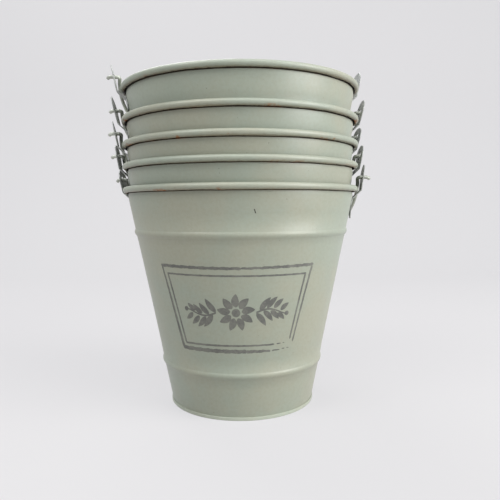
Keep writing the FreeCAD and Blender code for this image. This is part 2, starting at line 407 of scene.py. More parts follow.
@dataclass(frozen=True)
class PrintInk:
    """Flat grey ink, thin where the stamp pressed lightly."""

    strong: tuple = srgb(98, 99, 95)
    faint: tuple = srgb(120, 121, 114)

    def material(self) -> bpy.types.Material:
        """Build the finish.

        Returns:
            The ink.
        """
        material, graph = new_material("print_ink")
        place = graph.node("ShaderNodeTexCoord", output="Object")
        cloud = graph.noise(place, 90.0, 4.0, 0.65)
        grain = graph.noise(place, 900.0, 2.0, 0.6)
        colour = graph.mix((cloud * 0.7 + grain * 0.3).smooth(0.4, 0.62), self.strong, self.faint)
        bump = graph.node("ShaderNodeBump", {}, {"Strength": 0.1, "Distance": 0.1 * MM, "Height": grain})
        finish_surface(graph, {"Base Color": colour, "Roughness": 0.45 + grain * 0.2, "Normal": bump})
        return material


# ---------------------------------------------------------------- meshes by rule


@dataclass
class GeometryTree:
    """A Geometry Nodes tree with named inputs, turned into plain meshes."""

    name: str
    inputs: dict[str, str]
    tree: bpy.types.GeometryNodeTree = field(init=False)
    graph: Graph = field(init=False)
    entry: bpy.types.Node = field(init=False)

    def __post_init__(self) -> None:
        """Make the empty tree with its interface."""
        self.tree = bpy.data.node_groups.new(self.name, "GeometryNodeTree")
        face = self.tree.interface
        face.new_socket("Geometry", in_out="INPUT", socket_type="NodeSocketGeometry")
        for name, kind in self.inputs.items():
            face.new_socket(name, in_out="INPUT", socket_type=kind)
        face.new_socket("Geometry", in_out="OUTPUT", socket_type="NodeSocketGeometry")
        self.graph = Graph(self.tree)
        self.entry = self.tree.nodes.new("NodeGroupInput")

    def value(self, name: str) -> Wire:
        """One of the tree's own inputs."""
        return Wire(self.graph, self.entry.outputs[name])

    def close(self, geometry: Wire) -> None:
        """End the tree with real geometry that carries the material.

        Args:
            geometry: what the tree has made.
        """
        smooth = self.graph.node("GeometryNodeSetShadeSmooth", {}, {"Geometry": geometry})
        real = self.graph.node("GeometryNodeRealizeInstances", {}, {"Geometry": smooth})
        dressed = self.graph.node("GeometryNodeSetMaterial", {},
                                  {"Geometry": real, "Material": self.value("Material")})
        self.graph.add("NodeGroupOutput", {}, {"Geometry": dressed})

    def make(self, name: str, start: bpy.types.Mesh, values: dict) -> bpy.types.Object:
        """Run the tree on a starting mesh.

        Args:
            name: name of the finished piece.
            start: mesh that goes in.
            values: the tree's inputs by name.

        Returns:
            An object at the origin with a plain mesh.
        """
        source = bpy.data.objects.new(f"{name}_source", start)
        bpy.context.scene.collection.objects.link(source)
        modifier = source.modifiers.new("rule", "NODES")
        modifier.node_group = self.tree
        for item in self.tree.interface.items_tree:
            if item.item_type == "SOCKET" and item.in_out == "INPUT" and item.name in values:
                modifier[item.identifier] = values[item.name]
        graph = bpy.context.evaluated_depsgraph_get()
        mesh = bpy.data.meshes.new_from_object(source.evaluated_get(graph))
        source.modifiers.remove(modifier)
        bpy.data.objects.remove(source)
        return plain_object(name, mesh)


def plain_object(name: str, mesh: bpy.types.Mesh) -> bpy.types.Object:
    """Make an object at the origin for a finished mesh, with its faces turned outwards.

    Args:
        name: name of the piece.
        mesh: its mesh.

    Returns:
        The object.
    """
    shell = bmesh.new()
    shell.from_mesh(mesh)
    if shell.calc_volume(signed=True) < 0:
        bmesh.ops.reverse_faces(shell, faces=shell.faces)
    shell.to_mesh(mesh)
    shell.free()
    mesh.set_sharp_from_angle(angle=CREASE)
    mesh.name = name
    piece = bpy.data.objects.new(name, mesh)
    bpy.context.scene.collection.objects.link(piece)
    return piece


def press_dents(made: GeometryTree, geometry: Wire) -> Wire:
    """Press shallow dents into a wall, or into the print that lies on it.

    Args:
        made: tree with the inputs Seed, Dent, Dent low and Dent high.
        geometry: the geometry to move.

    Returns:
        The same geometry, moved inwards by a broad noise between the two heights.
    """
    graph = made.graph
    place = graph.node("GeometryNodeInputPosition")
    shifted = graph.vector("ADD", place, graph.node("ShaderNodeCombineXYZ", {}, {
        0: made.value("Seed") * 2.3, 2: made.value("Seed")}))
    outward = graph.vector("NORMALIZE", graph.vector("MULTIPLY", place, (1.0, 1.0, 0.0)))
    share = (graph.parts(place)[2] - made.value("Dent low")) / (made.value("Dent high")
                                                                - made.value("Dent low"))
    inside = share.smooth(0.0, 0.12) * share.smooth(1.0, 0.9)
    depth = graph.noise(shifted, 16.0, 1.5) * made.value("Dent") * inside * -1.0
    push = graph.node("ShaderNodeVectorMath", {"operation": "SCALE"}, {0: outward, "Scale": depth})
    return graph.node("GeometryNodeSetPosition", {}, {"Geometry": geometry, "Offset": push})


def turning_tree() -> GeometryTree:
    """Make the tree that turns an outline (radius in X, height in Z) about the upright axis.

    Returns:
        The tree.
    """
    made = GeometryTree("turned_sheet", {
        "Segments": "NodeSocketInt", "Dent": "NodeSocketFloat", "Dent low": "NodeSocketFloat",
        "Dent high": "NodeSocketFloat", "Lip wave": "NodeSocketFloat", "Seed": "NodeSocketFloat",
        "Material": "NodeSocketMaterial"})
    graph = made.graph
    outline = made.value("Geometry")
    count = graph.node("GeometryNodeAttributeDomainSize", {"component": "MESH"},
                       {"Geometry": outline}, "Point Count")
    grid = graph.node("GeometryNodeMeshGrid", {}, {
        "Size X": 1.0, "Size Y": 1.0, "Vertices X": made.value("Segments") + 1.0, "Vertices Y": count})
    index = graph.node("GeometryNodeInputIndex")
    ring = graph.math("FLOOR", (index + 0.5) / count)
    spot = index - ring * count
    corner = graph.node("GeometryNodeSampleIndex", {"data_type": "FLOAT_VECTOR", "domain": "POINT"}, {
        "Geometry": outline, "Value": graph.node("GeometryNodeInputPosition"), "Index": spot})
    lip_here = graph.node("GeometryNodeInputNamedAttribute", {"data_type": "FLOAT"}, {"Name": "lip"})
    lip = graph.node("GeometryNodeSampleIndex", {"data_type": "FLOAT", "domain": "POINT"}, {
        "Geometry": outline, "Value": lip_here, "Index": spot})
    angle = ring / made.value("Segments") * math.tau
    turned = graph.node("ShaderNodeVectorRotate", {"rotation_type": "Z_AXIS"},
                        {"Vector": corner, "Angle": angle})
    sheet = graph.node("GeometryNodeSetPosition", {}, {"Geometry": grid, "Position": turned})
    sheet = graph.node("GeometryNodeStoreNamedAttribute", {"data_type": "FLOAT", "domain": "POINT"},
                       {"Geometry": sheet, "Name": "lip", "Value": lip})
    sheet = graph.node("GeometryNodeMergeByDistance", {}, {"Geometry": sheet, "Distance": 0.001 * MM})
    # The lip of the curl wanders up and down.
    place = graph.node("GeometryNodeInputPosition")
    shifted = graph.vector("ADD", place, graph.node("ShaderNodeCombineXYZ", {}, {
        0: made.value("Seed"), 1: made.value("Seed") * 1.7}))
    lip_stored = graph.node("GeometryNodeInputNamedAttribute", {"data_type": "FLOAT"}, {"Name": "lip"})
    wander = (graph.noise(shifted, 42.0, 3.0, 0.6) - 0.5) * made.value("Lip wave")
    wander = wander * lip_stored.smooth(0.6, 1.0)
    drop = graph.node("ShaderNodeCombineXYZ", {}, {2: wander})
    sheet = graph.node("GeometryNodeSetPosition", {}, {"Geometry": sheet, "Offset": drop})
    made.close(press_dents(made, sheet))
    return made


def wire_tree() -> GeometryTree:
    """Make the tree that gives a bent line a round section.

    Returns:
        The tree.
    """
    made = GeometryTree("bent_wire", {
        "Radius": "NodeSocketFloat", "Sides": "NodeSocketInt", "Material": "NodeSocketMaterial"})
    graph = made.graph
    line = graph.node("GeometryNodeMeshToCurve", {}, {"Mesh": made.value("Geometry")})
    ring = graph.node("GeometryNodeCurvePrimitiveCircle", {}, {
        "Resolution": made.value("Sides"), "Radius": made.value("Radius")})
    tube = graph.node("GeometryNodeCurveToMesh", {}, {
        "Curve": line, "Profile Curve": ring, "Fill Caps": True})
    tube = graph.node("GeometryNodeMergeByDistance", {}, {"Geometry": tube, "Distance": 0.001 * MM})
    made.close(tube)
    return made


def wrapping_tree() -> GeometryTree:
    """Make the tree that lays flat artwork (X along the wall, Y outward, Z up) round a tapered wall.

    Returns:
        The tree.
    """
    made = GeometryTree("wrapped_print", {
        "Foot radius": "NodeSocketFloat", "Taper": "NodeSocketFloat", "Middle radius": "NodeSocketFloat",
        "Dent": "NodeSocketFloat", "Dent low": "NodeSocketFloat", "Dent high": "NodeSocketFloat",
        "Seed": "NodeSocketFloat", "Material": "NodeSocketMaterial"})
    graph = made.graph
    across, outward, height = graph.parts(graph.node("GeometryNodeInputPosition"))
    angle = across / made.value("Middle radius")
    radius = made.value("Foot radius") + made.value("Taper") * height + outward
    wrapped = graph.node("ShaderNodeCombineXYZ", {}, {
        0: radius * graph.math("SINE", angle), 1: radius * graph.math("COSINE", angle) * -1.0, 2: height})
    laid = graph.node("GeometryNodeSetPosition", {}, {
        "Geometry": made.value("Geometry"), "Position": wrapped})
    made.close(press_dents(made, laid))
    return made


# ---------------------------------------------------------------- drawing helpers


def line_mesh(name: str, points: Iterable[Vector], lips: Sequence[float] | None = None) -> bpy.types.Mesh:
    """Make a mesh of points joined one after the other.

    Args:
        name: name of the mesh.
        points: the points in order.
        lips: how near the curl's open lip each point lies, with 2 where the paint is darkened as painted
            shade inside the curl.

    Returns:
        The mesh.
    """
    corners = [tuple(point) for point in points]
    mesh = bpy.data.meshes.new(name)
    mesh.from_pydata(corners, [(spot, spot + 1) for spot in range(len(corners) - 1)], [])
    if lips is not None:
        mesh.attributes.new("lip", "FLOAT", "POINT").data.foreach_set("value", lips)
    return mesh


def arc_points(centre: tuple[float, float], radius: float, start: float, end: float,
               steps: int) -> Profile:
    """Points along an arc.

    Args:
        centre: the arc's centre.
        radius: its radius.
        start: first angle in degrees.
        end: last angle in degrees.
        steps: number of chords.

    Returns:
        The points, both ends included.
    """
    angles = [math.radians(start + (end - start) * step / steps) for step in range(steps + 1)]
    return [(centre[0] + radius * math.cos(angle), centre[1] + radius * math.sin(angle))
            for angle in angles]


def finished(mesh: bmesh.types.BMesh, name: str, finish: bpy.types.Material) -> bpy.types.Object:
    """Make a smooth object at the origin from a bmesh.

    Args:
        mesh: the shape, which is used up.
        name: name of the piece.
        finish: its material.

    Returns:
        The object.
    """
    data = bpy.data.meshes.new(name)
    mesh.to_mesh(data)
    mesh.free()
    data.materials.append(finish)
    data.shade_smooth()
    piece = bpy.data.objects.new(name, data)
    bpy.context.scene.collection.objects.link(piece)
    return piece


def drop_slivers(mesh: bmesh.types.BMesh, join: float, thin: float) -> None:
    """Take out faces and edges too small to see.

    Args:
        mesh: the shape.
        join: points nearer than this become one.
        thin: edges shorter than this go.
    """
    bmesh.ops.remove_doubles(mesh, verts=mesh.verts, dist=join)
    bmesh.ops.dissolve_degenerate(mesh, edges=mesh.edges, dist=thin)


def bake_modifiers(piece: bpy.types.Object) -> None:
    """Turn an object's modifiers into its mesh.

    Args:
        piece: the object.
    """
    graph = bpy.context.evaluated_depsgraph_get()
    mesh = bpy.data.meshes.new_from_object(piece.evaluated_get(graph))
    piece.modifiers.clear()
    piece.data = mesh
    mesh.shade_smooth()
    mesh.set_sharp_from_angle(angle=CREASE)


def along_marks(marks: Sequence[tuple[float, float]], level: float) -> float:
    """Read a line of straight stretches.

    Args:
        marks: place and value of each bend, with the places rising.
        level: where it is read.

    Returns:
        The value there, level beyond both ends.
    """
    if level <= marks[0][0]:
        return marks[0][1]
    for (low, start), (high, end) in zip(marks, marks[1:]):
        if level <= high:
            return start + (end - start) * (level - low) / (high - low)
    return marks[-1][1]


def ripple(value: float, seed: float) -> float:
    """Smooth made-up wander between -1 and 1.

    Args:
        value: place along a line.
        seed: number that makes the wander its own.

    Returns:
        How far it wanders there.
    """
    return (math.sin(value * 1.9 + seed * 3.1) + math.sin(value * 4.3 + seed * 7.7) * 0.6
            + math.sin(value * 9.7 + seed * 1.3) * 0.4) / 2.0


# ---------------------------------------------------------------- sub-assemblies


@dataclass(frozen=True)
class Bucket:
    """Place of one bucket in the stack."""

    number: int
    lift: float
    turn: float

    @property
    def body(self) -> str:
        """Body that the bucket's sheet metal rides on."""
        return f"bucket_{self.number}"

    def place(self, mesh: bpy.types.Mesh) -> None:
        """Put a mesh, made at the origin with its front towards -Y, into the bucket's place."""
        mesh.transform(Matrix.Translation((0, 0, self.lift)) @ Matrix.Rotation(self.turn, 4, "Z"))


@dataclass
class TaperedShell:
    """Wall of a bucket: tapered sheet, two rolled bands, and a rim curled outward."""

    foot_radius: float = 57.9 * MM
    taper: float = 0.1975
    sheet: float = 0.5 * MM
    foot: float = 0.65 * MM
    rim_height: float = 172.8 * MM
    neck: float = 167.0 * MM
    curl: float = 2.4 * MM
    curl_centre: float = 92.5825 * MM
    curl_ends: tuple = (-99.0, -104.0, -101.0, -98.0, -103.0)
    bands: tuple = (35.3 * MM, 139.3 * MM)
    band_half: float = 2.7 * MM
    band_bulge: float = 1.15 * MM
    segments: int = 256
    plain_steps: int = 14
    band_steps: int = 7
    inner_steps: int = 24
    outer_steps: int = 28
    dent: float = 0.5 * MM
    lip_wave: float = 1.5 * MM

    def radius(self, height: float) -> float:
        """Outer radius of the plain wall at a height above the foot."""
        return self.foot_radius + self.taper * height

    def bulge(self, height: float) -> float:
        """How far the bands stand out of the plain wall.

        Args:
            height: height above the foot.

        Returns:
            The bands' rise there.
        """
        total = 0.0
        for band in self.bands:
            offset = height - band
            if abs(offset) < self.band_half:
                total += self.band_bulge * (1 - (offset / self.band_half) ** 2)
        return total

    def heights(self) -> list[float]:
        """Heights at which the wall's outline is sampled.

        Returns:
            The heights, closer together on the bands.
        """
        marks = [self.foot, self.neck]
        marks += [self.foot + (self.neck - self.foot) * step / self.plain_steps
                  for step in range(1, self.plain_steps)]
        for band in self.bands:
            marks = [mark for mark in marks if abs(mark - band) > self.band_half * 1.6]
            steps = self.band_steps
            marks += [band + self.band_half * step / steps for step in range(-steps, steps + 1)]
        return sorted(marks)

    def outline(self, curl_end: float) -> tuple[Profile, list[float]]:
        """Outline of the sheet, up its outer face and down its inner one.

        Args:
            curl_end: angle at which the curl's lip ends, in degrees.

        Returns:
            The outline's points, and how near the curl's open lip each one lies, with 2 for the throat and
            the inside of the curl, which get painted shade.
        """
        centre = (self.curl_centre, self.rim_height)
        outside = [(self.radius(height) + self.bulge(height), height) for height in self.heights()]
        inside = [(radius - self.sheet * 1.02, height) for radius, height in reversed(outside)]
        inner_curl = arc_points(centre, self.curl - self.sheet, 180, curl_end, self.inner_steps)
        outer_curl = arc_points(centre, self.curl, curl_end, 180, self.outer_steps)
        throat = [(inner_curl[0][0] + 0.02 * MM, self.rim_height - drop * MM) for drop in (3.1, 2.7)]
        points = outside + throat + inner_curl + outer_curl + inside
        # A value of 2 marks the throat and the inside of the curl, which the paint darkens as painted
        # shade.
        lips = [0.0] * len(outside) + [0.0, 2.0]
        lips += [2.0] * self.inner_steps + [1.0]
        lips += [max(0.0, 1 - step / 9) for step in range(self.outer_steps + 1)]
        lips += [0.0] * len(inside)
        return points, lips

    def build(self, bucket: Bucket, tree: GeometryTree, finish: bpy.types.Material) -> bpy.types.Object:
        """Turn the outline into the wall of one bucket.

        Args:
            bucket: the bucket it belongs to.
            tree: the turning tree.
            finish: its paint.

        Returns:
            The wall, in its place in the stack.
        """
        points, lips = self.outline(self.curl_ends[bucket.number - 1])
        points.append(points[0])
        lips.append(lips[0])
        outline = line_mesh("wall_outline", [Vector((x, 0, z)) for x, z in points], lips)
        wall = tree.make(f"wall_skin_{bucket.number}", outline, {
            "Segments": self.segments, "Dent": self.dent, "Dent low": self.bands[0] + self.band_half,
            "Dent high": self.bands[1] - self.band_half, "Lip wave": self.lip_wave,
            "Seed": float(bucket.number), "Material": finish})
        bucket.place(wall.data)
        return wall


@dataclass
class FloorPan:
    """Base of a bucket, pressed from sheet and hemmed round the foot of the wall."""

    shell: TaperedShell
    floor_height: float = 4.5 * MM
    rim_bottom: float = 0.6 * MM
    leg: float = 57.41 * MM
    hem_top: float = 2.6 * MM
    hem_inner: float = 58.52 * MM
    hem_outer: float = 59.1 * MM
    dish: float = 0.5 * MM
    segments: int = 192

    def build(self, bucket: Bucket, tree: GeometryTree, finish: bpy.types.Material) -> bpy.types.Object:
        """Turn the pan's outline into the base of one bucket.

        Args:
            bucket: the bucket it belongs to.
            tree: the turning tree.
            finish: its paint.

        Returns:
            The base, in its place in the stack.
        """
        sheet, soft, crisp, bottom = self.shell.sheet, 0.35 * MM, 0.28 * MM, 0.5 * MM
        inner = self.leg - sheet
        middle, low, high = self.leg * 0.45, self.leg * 0.88, self.leg * 0.92
        floor = self.floor_height - self.dish
        top = [(0.0, floor), (middle, floor), (low, floor), (high, self.floor_height)]
        top += arc_points((self.leg - soft, self.floor_height - soft), soft, 90, 0, 4)
        foot = [(self.leg, self.rim_bottom), (self.hem_inner, self.rim_bottom),
                (self.hem_inner, self.hem_top)]
        foot += arc_points((self.hem_outer - crisp, self.hem_top - crisp), crisp, 90, 0, 5)
        foot += arc_points((self.hem_outer - bottom, bottom), bottom, 0, -90, 6)
        foot += arc_points((inner + soft, soft), soft, -90, -180, 4)
        under = self.floor_height - sheet
        foot += [(inner, under), (high, under), (low, under - self.dish)]
        foot += [(middle, under - self.dish), (0.0, under - self.dish)]
        points = top + foot
        outline = line_mesh("base_outline", [Vector((x, 0, z)) for x, z in points], [0.0] * len(points))
        base = tree.make(f"base_pan_{bucket.number}", outline, {
            "Segments": self.segments, "Dent": 0.0, "Dent low": 0.0, "Dent high": 1.0, "Lip wave": 0.0,
            "Seed": float(bucket.number), "Material": finish})
        bucket.place(base.data)
        return base


@dataclass
class SideSeam:
    """Lapped seam that closes the wall at the back of a bucket."""

    shell: TaperedShell
    angle: float = math.pi
    half_width: float = 2.6 * MM
    stand: float = 0.35 * MM
    low: float = 3.4 * MM
    high: float = 166.0 * MM

    def build(self, bucket: Bucket, finish: bpy.types.Material) -> bpy.types.Object:
        """Make the seam's strip, following the bands, as a closed piece.

        Args:
            bucket: the bucket it belongs to.
            finish: its paint.

        Returns:
            The seam, in its place in the stack.
        """
        shell = self.shell
        marks = [height for height in shell.heights() if self.low < height < self.high]
        marks = [self.low] + marks + [self.high]
        steps = (-1.0, -0.82, 0.0, 0.82, 1.0)
        rises = (0.0, 0.9, 1.0, 0.9, 0.0)
        mesh = bmesh.new()
        rows = []
        for height in marks:
            base = shell.radius(height) + shell.bulge(height)
            row = [(base + self.stand * rise - 0.12 * MM, step) for step, rise in zip(steps, rises)]
            row += [(base - 0.3 * MM, step) for step in (1.0, -1.0)]
            turns = [self.angle + self.half_width * step / base for _, step in row]
            rows.append([mesh.verts.new((reach * math.sin(turn), -reach * math.cos(turn), height))
                         for (reach, _), turn in zip(row, turns)])
        count = len(rows[0])
        for first, second in zip(rows, rows[1:]):
            for spot in range(count):
                after = (spot + 1) % count
                mesh.faces.new((first[spot], first[after], second[after], second[spot]))
        mesh.faces.new(rows[0])
        mesh.faces.new(rows[-1])
        bmesh.ops.recalc_face_normals(mesh, faces=mesh.faces)
        piece = finished(mesh, f"side_seam_{bucket.number}", finish)
        bucket.place(piece.data)
        return piece


@dataclass
class EarLug:
    """Bent lug that carries the bail: pointed leg, kink round the bead, tongue with a hole."""

    shell: TaperedShell
    side: Side
    tip_outs: tuple
    tip_rises: tuple
    sheet: float = 0.8 * MM
    gap: float = 0.05 * MM
    half_width: float = 9.0 * MM
    waist: float = 6.5 * MM
    kite: float = 12.5 * MM
    foot: float = 2.2 * MM
    hole: float = 2.5 * MM
    hole_height: float = 10.3 * MM
    hole_sides: int = 20
    standoff: float = 2.6 * MM
    leg_end: float = -23.6 * MM
    leg_bend: float = -15.4 * MM
    kite_level: float = -12.5 * MM
    kink_level: float = -7.5 * MM
    waist_level: float = -5.0 * MM
    bead_level: float = -1.0 * MM
    bend_step: float = 0.5 * MM
    columns: int = 24

    def inner_radius(self, level: float, out: float, rise: float) -> float:
        """Radius of the lug's inner face.

        Args:
            level: height above the rim's centre.
            out: how far outside the rim the tip stands.
            rise: height of the tip above the rim's centre.

        Returns:
            The radius there.
        """
        shell = self.shell
        rim = shell.curl_centre + shell.curl
        bend = shell.radius(shell.rim_height + self.leg_bend) + self.gap
        kink = shell.radius(shell.rim_height + self.kink_level) + self.gap
        marks = [(self.leg_bend, bend), (self.kink_level, kink), (self.bead_level, rim + self.standoff),
                 (rise, rim + out)]
        return along_marks(marks, level)

    def half(self, level: float, rise: float) -> float:
        """Half width of the lug.

        Args:
            level: height above the rim's centre.
            rise: height of the tip above the rim's centre.

        Returns:
            The half width there.
        """
        tip = rise - self.half_width
        if level >= tip:
            return math.sqrt(max(self.half_width ** 2 - (level - tip) ** 2, 0.0))
        marks = [(self.leg_end, self.foot), (self.kite_level, self.kite), (self.waist_level, self.waist),
                 (self.bead_level, self.waist), (tip, self.half_width)]
        return along_marks(marks, level)

    def build(self, bucket: Bucket, finish: bpy.types.Material) -> bpy.types.Object:
        """Make one lug: a bent plate with a real hole and rounded edges.

        Args:
            bucket: the bucket it belongs to.
            finish: its metal.

        Returns:
            The lug, in its place in the stack.
        """
        out = self.tip_outs[bucket.number - 1] * MM
        rise = self.tip_rises[bucket.number - 1] * MM
        rim = self.shell.rim_height
        mesh = self._flat_plate(rise)
        self._open_hole(mesh)
        for vertex in mesh.verts:
            across, _, level = vertex.co
            radius = self.inner_radius(level, out, rise)
            reach = math.sqrt(max(radius ** 2 - across ** 2, 0.0))
            vertex.co = (self.side.value * reach, across, rim + level)
        bmesh.ops.recalc_face_normals(mesh, faces=mesh.faces)
        outward = Vector((self.side.value, 0, 0))
        if sum((face.normal.dot(outward) for face in mesh.faces)) < 0:
            bmesh.ops.reverse_faces(mesh, faces=mesh.faces)
        piece = finished(mesh, f"{self.side.name.lower()}_ear_plate_{bucket.number}", finish)
        solidify = piece.modifiers.new("sheet", "SOLIDIFY")
        solidify.thickness, solidify.offset = self.sheet, 1.0
        bevel = piece.modifiers.new("edges", "BEVEL")
        bevel.width, bevel.segments, bevel.limit_method = 0.12 * MM, 2, "ANGLE"
        bevel.angle_limit = math.radians(55)
        bake_modifiers(piece)
        clean = bmesh.new()
        clean.from_mesh(piece.data)
        drop_slivers(clean, 0.006 * MM, 0.004 * MM)
        clean.to_mesh(piece.data)
        clean.free()
        bucket.place(piece.data)
        return piece

    def _flat_plate(self, rise: float) -> bmesh.types.BMesh:
        """Lay out the plate flat, before it is bent.

        Args:
            rise: height of the tip above the rim's centre.

        Returns:
            The plate, with X across it and Z up it.
        """
        mesh = bmesh.new()
        rows = []
        for level in self._levels(rise):
            half = self.half(level, rise)
            rows.append([mesh.verts.new((half * (2 * column / self.columns - 1), 0.0, level))
                         for column in range(self.columns + 1)])
        for first, second in zip(rows, rows[1:]):
            for spot in range(self.columns):
                mesh.faces.new((first[spot], first[spot + 1], second[spot + 1], second[spot]))
        return mesh

    def _levels(self, rise: float) -> list[float]:
        """Heights of the rows of the flat plate.

        Args:
            rise: height of the tip above the rim's centre.

        Returns:
            The heights, closer together at the bends and the tip.
        """
        tip = rise - self.half_width
        marks = [self.leg_end, -20.5 * MM, -17.5 * MM, self.kite_level, -10 * MM, self.waist_level,
                 -3.0 * MM, 1.5 * MM, 4 * MM]
        marks += [bend + step * self.bend_step for bend in (self.leg_bend, self.kink_level, self.bead_level)
                  for step in (-1, 0, 1)]
        low = 6.5 * MM
        marks += [low + (tip - low) * step / 8 for step in range(9) if tip > low]
        marks += [tip + self.half_width * math.sin(math.radians(turn)) for turn in (15, 30, 45, 58, 69, 80)]
        return sorted(set(round(mark, 7) for mark in marks))

    def _open_hole(self, mesh: bmesh.types.BMesh) -> None:
        """Cut the round hole out of the flat plate by knife planes round its edge.

        Args:
            mesh: the flat plate.
        """
        centre = Vector((0, 0, self.hole_height))
        reach = self.hole
        angles = [math.tau * (side + 0.5) / self.hole_sides for side in range(self.hole_sides)]
        directions = [Vector((math.cos(angle), 0, math.sin(angle))) for angle in angles]
        for direction in directions:
            near = [face for face in mesh.faces
                    if (face.calc_center_median() - centre).length < reach * 2.6]
            geometry = list({edge for face in near for edge in face.edges}
                            | {vertex for face in near for vertex in face.verts}) + near
            bmesh.ops.bisect_plane(mesh, geom=geometry, plane_co=centre + direction * reach,
                                   plane_no=direction, dist=1e-7)
        inside = [face for face in mesh.faces if all(
            (face.calc_center_median() - centre).dot(direction) < reach for direction in directions)]
        bmesh.ops.delete(mesh, geom=inside, context="FACES")
        drop_slivers(mesh, 0.04 * MM, 0.02 * MM)


@dataclass
class BailWire:
    """Wire handle: a hoop with pinched arms and hooked ends that pass through the ears."""

    rim_radius: float = 94.9825 * MM
    hoop_standoff: float = 1.2175 * MM
    left_ends: tuple = (6.6 * MM,) * 5
    right_ends: tuple = (6.8 * MM, 6.5 * MM, 7.3 * MM, 7.2 * MM, 6.4 * MM)
    right_curled: tuple = (True, False, False, False, False)
    reach: float = 14 * MM
    pinch: float = math.radians(6.5)
    bend: float = 2 * MM
    curl: float = 3.4 * MM
    tip_turn: float = 62.0
    wire: float = 1.4 * MM
    sides: int = 14
    hinge_height: float = 182.3 * MM
    hoop_outs: tuple = (-11.8135 * MM,) + (2.13714 * MM,) * 4

    def half_path(self, end: float, curled: bool) -> Profile:
        """Middle line of one half of the wire in its own plane, from the hook to the hoop's top.

        Args:
            end: how far outside the rim the straight end runs, clear of the ear's hole.
            curled: whether the end then curls back, or is cut off there.

        Returns:
            Points with X along the hinge axis and Y towards the hoop's top.
        """
        hoop = self.rim_radius + self.hoop_standoff
        hook = self.rim_radius + end
        along, across = math.cos(self.pinch), math.sin(self.pinch)
        arm = (self.reach - hoop * across - self.bend * (1 + across)) / along
        place = (hoop + self.bend) * along - arm * across
        pinch = math.degrees(self.pinch)
        half = [(hook, 0.0)]
        if curled:
            half = arc_points((hook, self.curl), self.curl, self.tip_turn - 90, -90, 8)
        half += arc_points((place, self.bend), self.bend, -90, -180 - pinch, 8)
        half += arc_points((0.0, self.reach), hoop, -pinch, 90, 72)
        return half

    def build(self, bucket: Bucket, tree: GeometryTree, finish: bpy.types.Material) -> bpy.types.Object:
        """Bend the wire, give it its section and lay it down behind the bucket.

        Args:
            bucket: the bucket it belongs to.
            tree: the wire tree.
            finish: its metal.

        Returns:
            The bail, in its place in the stack.
        """
        hoop = self.rim_radius + self.hoop_standoff
        out = self.hoop_outs[bucket.number - 1]
        lean = math.acos((self.rim_radius + out) / (self.reach + hoop))
        spot = bucket.number - 1
        right = self.half_path(self.right_ends[spot], self.right_curled[spot])
        left = [(-x, y) for x, y in self.half_path(self.left_ends[spot], True)]
        path = right + list(reversed(left[:-1]))
        line = line_mesh("bail_line", [Vector((x, y, 0)) for x, y in path])
        bail = tree.make(f"bail_wire_{bucket.number}", line, {
            "Radius": self.wire, "Sides": self.sides, "Material": finish})
        bail.data.transform(Matrix.Translation((0, 0, self.hinge_height)) @ Matrix.Rotation(-lean, 4, "X"))
        bucket.place(bail.data)
        return bail


